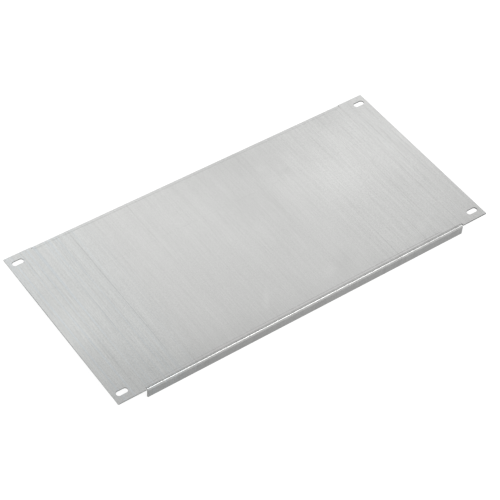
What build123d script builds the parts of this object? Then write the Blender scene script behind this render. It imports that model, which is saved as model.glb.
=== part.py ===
from build123d import *
import os

# Enclosure mounting plate, folded from one sheet.
# The origin is the centre of the footprint, on the plane of the flanges' lower edges.
# X runs along the long sides, Y runs across the plate and Z points up out of the mounting face.

# Flat panel, in millimetres
sheet_thickness = 1.0
plate_length = 412.0
plate_width = 195.6

# Corner tabs, left flat at the ends of the folded long sides
tab_length = 29.25
tab_corner_radius = 0.5

# Flanges folded down along the two long sides
flange_height = 10.8
flange_overhang = 0.6
bend_inner_radius = 1.5
flange_corner_radius = 0.8

# Narrow reliefs that let each bend end beside a corner tab
relief_width = 0.6
relief_past_bend = 0.15

# Fixing slots in the corner tabs, their centres set in from the plate's edges
slot_inset_x = 9.75
slot_inset_y = 9.8
slot_length = 11.5
slot_width = 5.5

# Small bevel that deburring leaves where a cut edge meets the outer skin
edge_break = 0.12

# Extra reach that carries a cutting shape clear of the sheet
cutter_reach = 2.0

# Largest distance at which two positions count as the same
same_place = 0.001

# Sizes that follow from the ones above
flange_length = plate_length - 2 * tab_length
slot_spacing_x = plate_length - 2 * slot_inset_x
slot_spacing_y = plate_width - 2 * slot_inset_y
bend_outer_radius = bend_inner_radius + sheet_thickness
width_over_flanges = plate_width + 2 * flange_overhang
bend_line_y = width_over_flanges / 2 - bend_outer_radius
panel_underside = flange_height - sheet_thickness
relief_centre_x = (flange_length + relief_width) / 2

standing = (Align.CENTER, Align.CENTER, Align.MIN)


def vertical_cutter(outline):
    """An upright shape that cuts through the flat sheet from below to above."""
    height = sheet_thickness + 2 * cutter_reach
    return Pos(0, 0, panel_underside - cutter_reach) * extrude(outline, amount=height)


def bend_opening(side):
    """The strip beyond one bend line that the flat panel leaves free for the bend."""
    length = flange_length + 2 * relief_width
    width = bend_outer_radius + cutter_reach
    outline = Pos(0, side * (bend_line_y + width / 2)) * Rectangle(length, width)
    return vertical_cutter(outline)


def relief_root(side, end):
    """The round inner end of one relief, centred a little way past the bend line."""
    radius = relief_width / 2
    centre_y = bend_line_y - relief_past_bend
    round_end = Pos(0, centre_y) * Circle(radius)
    straight = Pos(0, centre_y + cutter_reach / 2) * Rectangle(relief_width, cutter_reach)
    outline = Pos(end * relief_centre_x, 0) * (round_end + straight)
    if side < 0:
        outline = mirror(outline, about=Plane.XZ)
    return vertical_cutter(outline)


def flat_panel():
    """The flat sheet with four corner tabs, open where the long sides are folded down."""
    sheet = Box(plate_length, plate_width, sheet_thickness, align=standing)
    sheet = fillet(sheet.edges().filter_by(Axis.Z), tab_corner_radius)
    panel = Pos(0, 0, panel_underside) * sheet
    for side in (-1, 1):
        panel -= bend_opening(side)
        for end in (-1, 1):
            panel -= relief_root(side, end)
    return panel


def round_topped_bar(length, width, height, radius):
    """A bar standing on the footprint plane, its two long top edges rounded."""
    bar = Box(length, width, height, align=standing)
    top_edges = bar.edges().filter_by(Axis.X).group_by(Axis.Z)[-1]
    return fillet(top_edges, radius)


def folded_channel():
    """The stretch of sheet that carries the flanges: web, two true bends and two flanges."""
    outside = round_topped_bar(flange_length, width_over_flanges, flange_height, bend_outer_radius)
    inside = round_topped_bar(
        flange_length + cutter_reach,
        width_over_flanges - 2 * sheet_thickness,
        panel_underside,
        bend_inner_radius,
    )
    channel = outside - inside
    lower_corners = channel.edges().filter_by(Axis.Y).group_by(Axis.Z)[0]
    return fillet(lower_corners, flange_corner_radius)


def corner_slots():
    """Four long holes, one in each corner tab, running along the plate's long sides."""
    one_slot = SlotOverall(slot_length, slot_width)
    places = GridLocations(slot_spacing_x, slot_spacing_y, 2, 2)
    return vertical_cutter(Sketch() + [place * one_slot for place in places])


def is_outer_skin(face):
    """Whether a face is on the side of the sheet that the folds turn outwards."""
    if face.geom_type == GeomType.CYLINDER:
        return abs(face.radius - bend_outer_radius) < same_place
    middle = face.center()
    on_mounting_face = abs(middle.Z - flange_height) < same_place
    on_flange = abs(abs(middle.Y) - width_over_flanges / 2) < same_place
    return on_mounting_face or on_flange


def outer_skin_rim(plate):
    """The cut edges round the outer skin, without the smooth seams inside it."""
    edges = [edge for face in plate.faces().filter_by(is_outer_skin) for edge in face.edges()]
    return [edge for edge in edges if sum(edge.is_same(other) for other in edges) == 1]


def mounting_plate():
    """The whole folded plate as one piece of sheet."""
    plate = flat_panel() + folded_channel() - corner_slots()
    return chamfer(outer_skin_rim(plate), edge_break)


os.makedirs("parts", exist_ok=True)
export_step(mounting_plate(), "parts/mounting_plate.step")
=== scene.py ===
import math

import bpy
from mathutils import Matrix, Quaternion, Vector


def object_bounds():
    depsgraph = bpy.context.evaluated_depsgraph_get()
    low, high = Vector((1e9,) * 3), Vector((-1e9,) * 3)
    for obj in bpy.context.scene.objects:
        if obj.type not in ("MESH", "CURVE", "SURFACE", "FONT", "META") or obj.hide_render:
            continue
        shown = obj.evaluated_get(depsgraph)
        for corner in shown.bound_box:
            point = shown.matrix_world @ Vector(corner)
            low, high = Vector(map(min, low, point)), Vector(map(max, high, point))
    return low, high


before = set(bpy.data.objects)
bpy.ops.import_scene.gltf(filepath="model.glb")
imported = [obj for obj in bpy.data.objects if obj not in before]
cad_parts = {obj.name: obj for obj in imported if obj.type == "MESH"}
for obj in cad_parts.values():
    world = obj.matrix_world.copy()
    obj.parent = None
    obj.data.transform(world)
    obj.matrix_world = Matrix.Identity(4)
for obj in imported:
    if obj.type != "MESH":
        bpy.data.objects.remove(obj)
cad_low, cad_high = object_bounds()

# The plate's own sizes, in metres, as the solid has them
tab_length = 0.02925
bend_outer_radius = 0.0025
half_length = cad_high.x
face_height = cad_high.z
half_over_flanges = cad_high.y
flange_end_x = half_length - tab_length
bend_line_y = half_over_flanges - bend_outer_radius

# Camera, found from the plate's edges in the photograph
camera_azimuth = -38.25
camera_elevation = 47.80
camera_roll = 4.00
camera_distance = 1.5537
camera_lens = 121.31
camera_sensor = 36.0
camera_target = Vector((-0.01013, -0.01436, face_height))

# Light from the room: pale walls all round under a dimmer ceiling, and a little more from the back
wall_level = 0.70
ceiling_level = 0.29
wall_top = 49.0
ceiling_edge = 60.0
rise_to_back = 0.08

# Lamps: azimuth and elevation in degrees, distance, width and height in metres, then radiance
softbox_back = (166, 37.5, 1.8, 2.2, 1.20, 0.45)
strip_front = (29, 57, 1.8, 1.3, 0.35, 4.9)
strip_front_roll = -34

# Floor: its glow to the camera, the share of it that reflections see, and its own grey
floor_glow = 0.88
floor_glow_mirrored = 0.57
floor_grey = 0.30
floor_half_size = 6.0
floor_drop = 0.00005

# The sheet's colours: plain metal, plain metal beside the left end, and the bluish lines
plain_metal = (0.662, 0.664, 0.655, 1)
plain_metal_left = (0.656, 0.666, 0.658, 1)
bluish_metal = (0.638, 0.666, 0.678, 1)
bluish_share_at_right_end = 0.10

# The sheet's finish: how metallic and how rough it is, and how far its grain stands up
metallic_face = 0.9
metallic_less_on_flange = 0.45
face_roughness = 0.305
roughness_line_swing = 0.06
roughness_cloud_swing = 0.03
cut_roughness_more = 0.18
bump_strength = 0.35
bump_distance = 0.00002
thread_relief = 0.5
speckle_relief = 0.10
tear_relief = 1.5

# How far each layer of the rolled finish moves the tone
line_swing = 0.13
thread_swing = 0.25
hair_swing = 0.12
dark_line_drop = 0.08
speckle_swing = 0.60
band_swing = 0.08
cloud_swing = 0.12

# How strongly the rolled finish shows in the middle, and how much more beside each end
finish_shown = 0.62
more_at_left_end = 0.42
more_at_right_end = 0.38

# Single scores in the upper face: place along the plate, where the front end fades, darkening
score_half_width = 0.00055
score_fade = 0.01
score_wander = 0.0005
scores = (
    (-0.1389, -0.069, 0.20),
    (-0.1625, -0.097, 0.12),
    (-0.1836, -0.060, 0.10),
    (-0.1763, -0.090, 0.07),
    (-0.1477, -0.097, 0.06),
    (-0.0753, 0.043, 0.09),
    (0.1345, -0.097, 0.07),
    (0.1561, -0.080, 0.08),
    (0.1770, -0.097, 0.10),
    (0.1873, -0.070, 0.07),
)

# One faint rub along the plate: place across it, half width and darkening
rub_y = 0.0435
rub_half_width = 0.0007
rub_dark = 0.060

# Soft patches on the upper face, partly handling smudges and partly painted shade and painted light
# for the lamps' sheen and the sheet's waviness: centre, half sizes, turn in degrees and darkening,
# where a negative darkening is a pale patch
patches = (
    ((0.124, 0.016), (0.064, 0.048), 20, -0.060),
    ((0.050, 0.090), (0.140, 0.062), 0, 0.120),
    ((-0.0325, -0.071), (0.019, 0.0055), 52, -0.065),
    ((0.037, -0.075), (0.016, 0.007), 30, -0.040),
    ((0.141, -0.079), (0.020, 0.007), 25, -0.040),
    ((0.060, 0.067), (0.010, 0.007), 0, -0.030),
    ((0.077, 0.051), (0.013, 0.007), 20, 0.040),
    ((0.035, 0.000), (0.110, 0.024), 68, 0.030),
    ((0.055, -0.072), (0.024, 0.016), 30, 0.045),
    ((-0.120, -0.096), (0.150, 0.044), 0, 0.045),
    ((-0.198, -0.005), (0.046, 0.050), 0, -0.110),
    ((-0.165, -0.070), (0.032, 0.030), 0, 0.045),
    ((0.018, 0.036), (0.042, 0.040), 0, 0.075),
    ((0.160, 0.090), (0.045, 0.022), 0, 0.065),
    ((0.190, 0.022), (0.055, 0.060), 0, -0.065),
    ((0.150, 0.050), (0.022, 0.034), 0, -0.035),
)

# Shade along the front of the upper face
front_shade = 0.03

# Sheared faces: their darkening, what the torn grain takes from it, and the painted shade and
# painted light that some places add or take away
cut_dark = 0.46
cut_tear_swing = -0.5
cut_painted_shade_to_right = 0.22
cut_painted_shade_on_long_sides = 0.16
cut_painted_light_at_left_ends = 0.75
cut_painted_light_at_back_relief = 1.0
cut_painted_shade_at_slot_end = 0.22

# Dark lines beside the bends: the tool line is a press mark, and the lines at the bends' starts
# are faint press marks under painted shade where the sheet begins to turn. Each gives distance
# from the bend line, half width, and the strength at the plate's left and right ends
front_press_mark_and_shade = (0.0006, 0.0008, 0.10, 0.46)
back_press_mark_and_shade = (0.0018, 0.0009, 0.18, 0.13)
tool_line = (0.0031, 0.0007, 0.10, 0.30)
tool_line_end = (0.157, 0.149)

# The flanges' faces are painted darker than the rolled face, as painted shade for the dim floor
# they face, and unevenly so by random wear
flange_painted_shade = 0.24
flange_wear_swing = 0.30


def direction(azimuth, elevation):
    """Unit vector from the object towards an azimuth and elevation; azimuth 0 is -Y."""
    a = math.radians(azimuth)
    e = math.radians(elevation)
    return Vector((math.sin(a) * math.cos(e), -math.cos(a) * math.cos(e), math.sin(e)))


def add_camera():
    """The photograph's viewpoint: a long lens, turned a little about its own axis."""
    data = bpy.data.cameras.new("camera")
    data.lens = camera_lens
    data.sensor_width = camera_sensor
    data.clip_start = 0.05
    data.clip_end = 50
    camera = bpy.data.objects.new("camera", data)
    bpy.context.scene.collection.objects.link(camera)
    back = direction(camera_azimuth, camera_elevation)
    right = Vector((0, 0, 1)).cross(back).normalized()
    up = back.cross(right)
    roll = math.radians(camera_roll)
    rolled_right = right * math.cos(roll) + up * math.sin(roll)
    rolled_up = up * math.cos(roll) - right * math.sin(roll)
    turn = Matrix((rolled_right, rolled_up, back)).transposed().to_4x4()
    camera.matrix_world = Matrix.Translation(camera_target + back * camera_distance) @ turn
    bpy.context.scene.camera = camera


class Nodes:
    """Short ways to add and join shader nodes in one material or world."""

    def __init__(self, tree):
        self.tree = tree
        tree.nodes.clear()

    def add(self, kind, **settings):
        node = self.tree.nodes.new(kind)
        for name, value in settings.items():
            setattr(node, name, value)
        return node

    def put(self, value, socket):
        """Joins a node's output to a socket, or sets the socket to a plain value."""
        if isinstance(value, bpy.types.NodeSocket):
            self.tree.links.new(value, socket)
        else:
            socket.default_value = value

    def math(self, operation, a, b=0.0, c=0.0, clamp=False):
        node = self.add("ShaderNodeMath", operation=operation, use_clamp=clamp)
        for value, socket in zip((a, b, c), node.inputs):
            self.put(value, socket)
        return node.outputs[0]

    def times(self, a, b):
        return self.math("MULTIPLY", a, b)

    def larger(self, a, b):
        return self.math("MAXIMUM", a, b)

    def times_plus(self, a, b, c):
        """a times b, plus c."""
        return self.math("MULTIPLY_ADD", a, b, c)

    def sway(self, noise, swing, level):
        """A level that noise moves up and down, by half of swing each way at most."""
        return self.times_plus(self.math("SUBTRACT", noise, 0.5), swing, level)

    def less(self, tone, mark, share):
        """A tone darkened by a share where a mark is 1; a negative share lightens it."""
        return self.times(tone, self.times_plus(mark, -share, 1.0))

    def parts(self, vector):
        """The X, Y and Z of a vector."""
        split = self.add("ShaderNodeSeparateXYZ")
        self.put(vector, split.inputs[0])
        return split.outputs

    def noise(self, place, detail=3.0, roughness=0.55):
        """Noise between 0 and 1 at a scaled place; its scale is in that place."""
        node = self.add("ShaderNodeTexNoise", noise_dimensions="3D")
        self.put(place, node.inputs["Vector"])
        node.inputs["Scale"].default_value = 1.0
        node.inputs["Detail"].default_value = detail
        node.inputs["Roughness"].default_value = roughness
        return node.outputs["Fac"]

    def scaled(self, place, scale, offset=(0, 0, 0), turn=0.0):
        node = self.add("ShaderNodeMapping")
        self.put(place, node.inputs["Vector"])
        node.inputs["Scale"].default_value = scale
        node.inputs["Location"].default_value = offset
        node.inputs["Rotation"].default_value = (0, 0, math.radians(turn))
        return node.outputs["Vector"]

    def ramp(self, value, low, high):
        """0 below low and 1 above high, or the other way round where low is the larger."""
        node = self.add("ShaderNodeMapRange", interpolation_type="SMOOTHSTEP")
        self.put(value, node.inputs["Value"])
        if low < high:
            limits = (low, high, 0.0, 1.0)
        else:
            limits = (high, low, 1.0, 0.0)
        for name, limit in zip(("From Min", "From Max", "To Min", "To Max"), limits):
            node.inputs[name].default_value = limit
        return node.outputs["Result"]

    def band(self, value, centre, half_width):
        """1 at centre, falling smoothly to 0 at half_width on either side."""
        away = self.math("ABSOLUTE", self.math("SUBTRACT", value, centre))
        return self.ramp(away, half_width, 0.0)

    def patch(self, place, centre, size, turn):
        """A soft patch on the panel: 1 at its middle, 0 at its rim."""
        node = self.add("ShaderNodeMapping", vector_type="TEXTURE")
        self.put(place, node.inputs["Vector"])
        node.inputs["Location"].default_value = (centre[0], centre[1], face_height)
        node.inputs["Rotation"].default_value = (0, 0, math.radians(turn))
        node.inputs["Scale"].default_value = (size[0], size[1], 1.0)
        length = self.add("ShaderNodeVectorMath", operation="LENGTH")
        self.put(node.outputs["Vector"], length.inputs[0])
        return self.ramp(length.outputs["Value"], 1.0, 0.0)

    def mix(self, factor, a, b):
        """Colour mix."""
        node = self.add("ShaderNodeMix", data_type="RGBA")
        self.put(factor, node.inputs["Factor"])
        self.put(a, node.inputs[6])
        self.put(b, node.inputs[7])
        return node.outputs[2]

    def grey_times(self, colour, factor):
        """A colour times a grey factor."""
        node = self.add("ShaderNodeVectorMath", operation="SCALE")
        self.put(colour, node.inputs[0])
        self.put(factor, node.inputs["Scale"])
        return node.outputs[0]

    def finish(self, surface, kind="ShaderNodeOutputMaterial"):
        """Joins the last shader to the tree's output."""
        output = self.add(kind)
        self.put(surface, output.inputs["Surface"])


class Spot:
    """Where a shaded point lies on the plate, and which way its face looks."""

    def __init__(self, n):
        where = n.add("ShaderNodeTexCoord")
        self.place = where.outputs["Object"]
        self.x, self.y, self.z = n.parts(self.place)
        self.facing_x, facing_y, self.facing_z = n.parts(where.outputs["Normal"])
        self.from_middle_x = n.math("ABSOLUTE", self.x)
        self.either_end = n.math("ABSOLUTE", self.facing_x)
        self.either_side = n.math("ABSOLUTE", facing_y)
        self.on_top = n.ramp(self.facing_z, 0.6, 0.9)
        self.left_end = n.ramp(self.x, -0.100, -0.150)


class Grain:
    """The layers of noise that the rolled finish, the roughness and the bump share."""

    def __init__(self, n, spot):
        place = spot.place
        self.bands = n.noise(n.scaled(place, (28, 1.2, 8), (3, 5, 7)), detail=2.0)
        self.lines = n.noise(
            n.scaled(place, (430, 6, 30), (11, 2, 4)), detail=2.0, roughness=0.7)
        self.threads = n.noise(
            n.scaled(place, (1000, 24, 60), (5, 9, 2)), detail=2.0, roughness=0.6)
        self.hairs = n.noise(
            n.scaled(place, (4200, 60, 200), (1, 8, 6)), detail=3.0, roughness=0.6)
        self.speckle = n.noise(
            n.scaled(place, (1300, 800, 900), (2, 6, 3)), detail=3.0, roughness=0.7)
        self.clouds = n.noise(
            n.scaled(place, (11, 8, 8), (7.4, 2.2, 1), turn=35), detail=2.0)
        self.dark_lines = n.noise(
            n.scaled(place, (700, 9, 40), (7, 3, 8)), detail=2.0, roughness=0.6)
        self.tear = n.noise(
            n.scaled(place, (2200, 2200, 500), (3, 3, 3)), detail=3.0, roughness=0.7)


def rolled_tone(n, spot, grain):
    """Rolling lines across the plate and down the flanges, clearest beside the plate's ends."""
    right_end = n.ramp(spot.x, 0.058, 0.112)
    shown = n.times_plus(spot.left_end, more_at_left_end, finish_shown)
    shown = n.times_plus(right_end, more_at_right_end, shown)
    streak = n.sway(grain.lines, line_swing, 0.0)
    streak = n.sway(grain.threads, thread_swing, streak)
    streak = n.sway(grain.hairs, hair_swing, streak)
    streak = n.times_plus(n.ramp(grain.dark_lines, 0.42, 0.28), -dark_line_drop, streak)
    tone = n.times_plus(streak, shown, 1.0)
    speckle = n.times(n.math("SUBTRACT", grain.speckle, 0.5), shown)
    tone = n.times_plus(speckle, speckle_swing, tone)
    tone = n.sway(grain.bands, band_swing, tone)
    return n.sway(grain.clouds, cloud_swing, tone)


def scored(n, spot, tone):
    """Single scores and one rub in the upper face."""
    wander = n.noise(n.scaled(spot.place, (0, 9, 0), (4, 0, 0)))
    score_x = n.math("ADD", spot.x, n.sway(wander, score_wander, 0.0))
    for centre, front_end, dark in scores:
        score = n.times(
            n.band(score_x, centre, score_half_width),
            n.ramp(spot.y, front_end - score_fade, front_end + score_fade))
        tone = n.less(tone, n.times(score, spot.on_top), dark)
    broken = n.ramp(n.noise(n.scaled(spot.place, (60, 0, 0))), 0.40, 0.55)
    rub = n.times(n.band(spot.y, rub_y, rub_half_width), broken)
    return n.less(tone, n.times(rub, spot.on_top), rub_dark)


def smudges_and_painted_light(n, spot, tone):
    """Soft patches over the upper face: handling smudges, painted shade and painted light, and a
    little painted shade along its front.
    """
    # Painted shade and painted light in soft patches, with some handling smudges among them
    for centre, size, turn, dark in patches:
        tone = n.less(tone, n.patch(spot.place, centre, size, turn), dark)
    return n.less(tone, n.times(n.ramp(spot.y, -0.070, -0.096), spot.on_top), front_shade)


def sheared_faces(n, spot):
    """1 on the faces that the shear or punch cut: outline, slots and the flanges' lower edges."""
    beside_tabs = n.ramp(spot.from_middle_x, flange_end_x + 0.0001, flange_end_x + 0.0002)
    sides = n.times(n.ramp(spot.either_side, 0.45, 0.55), beside_tabs)
    feet = n.times(n.ramp(spot.z, 0.0003, 0.0001), n.ramp(spot.facing_z, -0.45, -0.55))
    return n.larger(n.ramp(spot.either_end, 0.45, 0.55), n.larger(sides, feet))


def cut_darkness(n, spot, grain):
    """How much darker a sheared face is than the rolled face, with painted shade and painted light
    in some places round the plate.
    """
    dark = n.sway(grain.tear, cut_tear_swing, cut_dark)
    to_right = n.ramp(spot.x, -0.15, 0.15)
    # Painted shade: sheared faces darker towards the right
    dark = n.times_plus(to_right, cut_painted_shade_to_right, dark)
    long_sides = n.times(n.ramp(spot.either_side, 0.5, 0.9), to_right)
    # Painted shade on the long sides' sheared faces, standing in for the shadow they reflect
    dark = n.times_plus(long_sides, cut_painted_shade_on_long_sides, dark)
    left_ends = n.larger(n.ramp(spot.y, 0.055, 0.080), n.ramp(spot.y, -0.030, -0.060))
    left_ends = n.times(left_ends, n.ramp(spot.x, -0.2045, -0.2055))
    # Painted light: sheared faces paler at the left ends
    dark = n.less(dark, left_ends, cut_painted_light_at_left_ends)
    at_flange_end = n.band(spot.from_middle_x, flange_end_x, 0.0030)
    back_relief = n.times(n.ramp(spot.y, 0.094, 0.095), at_flange_end)
    # Painted light: the back reliefs' sheared faces keep their full tone, as if lit by the softbox
    dark = n.less(dark, back_relief, cut_painted_light_at_back_relief)
    slot_end = n.times(n.ramp(spot.facing_x, -0.3, -0.6), n.ramp(spot.x, 0.190, 0.195))
    slot_end = n.times(slot_end, n.ramp(spot.y, -0.06, -0.07))
    # Painted shade on the end wall of the front right slot
    return n.times_plus(slot_end, cut_painted_shade_at_slot_end, dark)


def press_line(n, spot, side, line):
    """One thin mark beside a bend, whose strength changes evenly from left to right."""
    from_bend, half_width, left_strength, right_strength = line
    middle = 0.5 * (left_strength + right_strength)
    slope = 0.5 * (right_strength - left_strength) / half_length
    mark = n.band(spot.y, side * (bend_line_y - from_bend), half_width)
    return n.times(mark, n.times_plus(spot.x, slope, middle))


def press_marks_and_bend_shade(n, spot, tone):
    """Press marks on the outer skin before each bend, with painted shade over those at the bends'
    starts.
    """
    flanged = n.ramp(spot.from_middle_x, flange_end_x + 0.0006, flange_end_x - 0.0006)
    near_bend = n.times(spot.on_top, flanged)
    uneven = n.ramp(n.noise(n.scaled(spot.place, (90, 0, 0), (8, 1, 1)), detail=4.0), 0.1, 0.6)
    # Painted shade where each bend starts to turn, over a faint press mark
    front = press_line(n, spot, -1, front_press_mark_and_shade)
    back = press_line(n, spot, 1, back_press_mark_and_shade)
    tool = n.times(press_line(n, spot, -1, tool_line), n.ramp(spot.x, *tool_line_end))
    marks = n.larger(n.larger(front, back), tool)
    marks = n.times(n.times(marks, near_bend), uneven)
    return n.times(tone, n.math("SUBTRACT", 1.0, marks))


def flange_faces(n, spot):
    """1 on the flanges' flat outer faces."""
    flanged = n.ramp(spot.from_middle_x, flange_end_x, flange_end_x - 0.0001)
    return n.times(n.ramp(spot.either_side, 0.93, 1.0), flanged)


def sheet_tint(n, spot):
    """The metal's colour, with bluish lines that nearly all lie beside the left end."""
    lines = n.noise(
        n.scaled(spot.place, (420, 3, 6), (6, 1, 9)), detail=1.0, roughness=0.5)
    far_left = n.ramp(spot.x, -0.105, -0.170)
    far_right = n.ramp(spot.x, 0.115, 0.150)
    shown = n.larger(far_left, n.times(far_right, bluish_share_at_right_end))
    blue = n.times(n.ramp(lines, 0.50, 0.68), shown)
    plain = n.mix(spot.left_end, plain_metal, plain_metal_left)
    return n.mix(blue, plain, bluish_metal)


def sheet_bump(n, grain, sheared):
    """The fine relief of the rolled finish, rougher on the sheared faces."""
    relief = n.times_plus(grain.threads, thread_relief, grain.lines)
    relief = n.times_plus(grain.speckle, speckle_relief, relief)
    relief = n.times_plus(n.times(grain.tear, sheared), tear_relief, relief)
    bump = n.add("ShaderNodeBump")
    bump.inputs["Strength"].default_value = bump_strength
    bump.inputs["Distance"].default_value = bump_distance
    n.put(relief, bump.inputs["Height"])
    return bump.outputs[0]


def sheet_material(material):
    """Mill-finish sheet: rolling lines, scores, handling marks, cut edges and bend marks."""
    material.use_nodes = True
    n = Nodes(material.node_tree)
    spot = Spot(n)
    grain = Grain(n, spot)
    tone = smudges_and_painted_light(n, spot, scored(n, spot, rolled_tone(n, spot, grain)))

    sheared = sheared_faces(n, spot)
    darkness = n.times(cut_darkness(n, spot, grain), -1.0)
    tone = n.times(tone, n.times_plus(sheared, darkness, 1.0))
    tone = press_marks_and_bend_shade(n, spot, tone)

    on_flange = flange_faces(n, spot)
    # Painted shade: the flanges' outer faces darkened for the dim floor they face
    tone = n.less(tone, on_flange, flange_painted_shade)
    wear = n.noise(n.scaled(spot.place, (75, 0, 25), (2, 5, 1)), detail=4.0)
    worn = n.math("SUBTRACT", wear, 0.5)
    tone = n.less(tone, n.times(worn, on_flange), flange_wear_swing)

    roughness = n.sway(grain.lines, roughness_line_swing, face_roughness)
    roughness = n.sway(grain.clouds, roughness_cloud_swing, roughness)
    roughness = n.times_plus(sheared, cut_roughness_more, roughness)

    shader = n.add("ShaderNodeBsdfPrincipled")
    n.put(n.grey_times(sheet_tint(n, spot), tone), shader.inputs["Base Color"])
    metallic = n.times_plus(on_flange, -metallic_less_on_flange, metallic_face)
    n.put(metallic, shader.inputs["Metallic"])
    n.put(roughness, shader.inputs["Roughness"])
    n.put(sheet_bump(n, grain, sheared), shader.inputs["Normal"])
    n.finish(shader.outputs[0])


def floor_material():
    """Pale floor: white to the camera, duller in reflections, and grey under the plate's shadow."""
    material = bpy.data.materials.new("floor_pale")
    material.use_nodes = True
    n = Nodes(material.node_tree)
    ray = n.add("ShaderNodeLightPath")
    mirrored = n.math(
        "ADD", ray.outputs["Is Glossy Ray"], ray.outputs["Is Transmission Ray"], clamp=True)
    seen = n.times_plus(mirrored, floor_glow_mirrored, ray.outputs["Is Camera Ray"])
    glow = n.add("ShaderNodeEmission")
    glow.inputs["Color"].default_value = (1, 1, 1, 1)
    n.put(n.times(seen, floor_glow), glow.inputs["Strength"])
    matt = n.add("ShaderNodeBsdfDiffuse")
    matt.inputs["Color"].default_value = (floor_grey, floor_grey, floor_grey, 1)
    both = n.add("ShaderNodeAddShader")
    n.put(glow.outputs[0], both.inputs[0])
    n.put(matt.outputs[0], both.inputs[1])
    n.finish(both.outputs[0])
    return material


def add_floor():
    """A wide floor just below the flanges' lower edges, so that no two faces coincide."""
    half = floor_half_size
    top = -floor_drop
    corners = [(-half, -half, top), (half, -half, top), (half, half, top), (-half, half, top)]
    mesh = bpy.data.meshes.new("floor")
    mesh.from_pydata(corners, [], [(0, 1, 2, 3)])
    mesh.materials.append(floor_material())
    floor = bpy.data.objects.new("floor", mesh)
    bpy.context.scene.collection.objects.link(floor)


def add_softbox(name, azimuth, elevation, distance, width, height, radiance, roll=0.0):
    """A flat lamp facing the plate; radiance 1 is as bright as white paper in full light."""
    data = bpy.data.lights.new(name, "AREA")
    data.shape = "RECTANGLE"
    data.size = width
    data.size_y = height
    data.energy = radiance * math.pi * width * height
    lamp = bpy.data.objects.new(name, data)
    away = direction(azimuth, elevation)
    lamp.location = away * distance
    lamp.rotation_mode = "QUATERNION"
    spin = Quaternion((0, 0, 1), math.radians(roll))
    lamp.rotation_quaternion = away.to_track_quat("Z", "Y") @ spin
    bpy.context.scene.collection.objects.link(lamp)


def add_light():
    """Soft room light, a low softbox behind the plate and a strip lamp before it for the bend."""
    world = bpy.data.worlds.new("studio")
    bpy.context.scene.world = world
    world.use_nodes = True
    n = Nodes(world.node_tree)
    where = n.add("ShaderNodeTexCoord")
    _, sky_y, sky_z = n.parts(where.outputs["Generated"])
    wall = n.ramp(
        sky_z, math.sin(math.radians(ceiling_edge)), math.sin(math.radians(wall_top)))
    level = n.times_plus(wall, wall_level - ceiling_level, ceiling_level)
    level = n.times_plus(sky_y, rise_to_back, level)
    sky = n.add("ShaderNodeBackground")
    sky.inputs["Color"].default_value = (1.0, 1.0, 1.0, 1)
    n.put(level, sky.inputs["Strength"])
    n.finish(sky.outputs[0], "ShaderNodeOutputWorld")
    add_softbox("softbox_back", *softbox_back)
    add_softbox("strip_front", *strip_front, roll=strip_front_roll)


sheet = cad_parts["mounting_plate"]
sheet_material(sheet.data.materials[0])
add_floor()
add_light()
add_camera()
bpy.context.scene.view_settings.view_transform = "Standard"
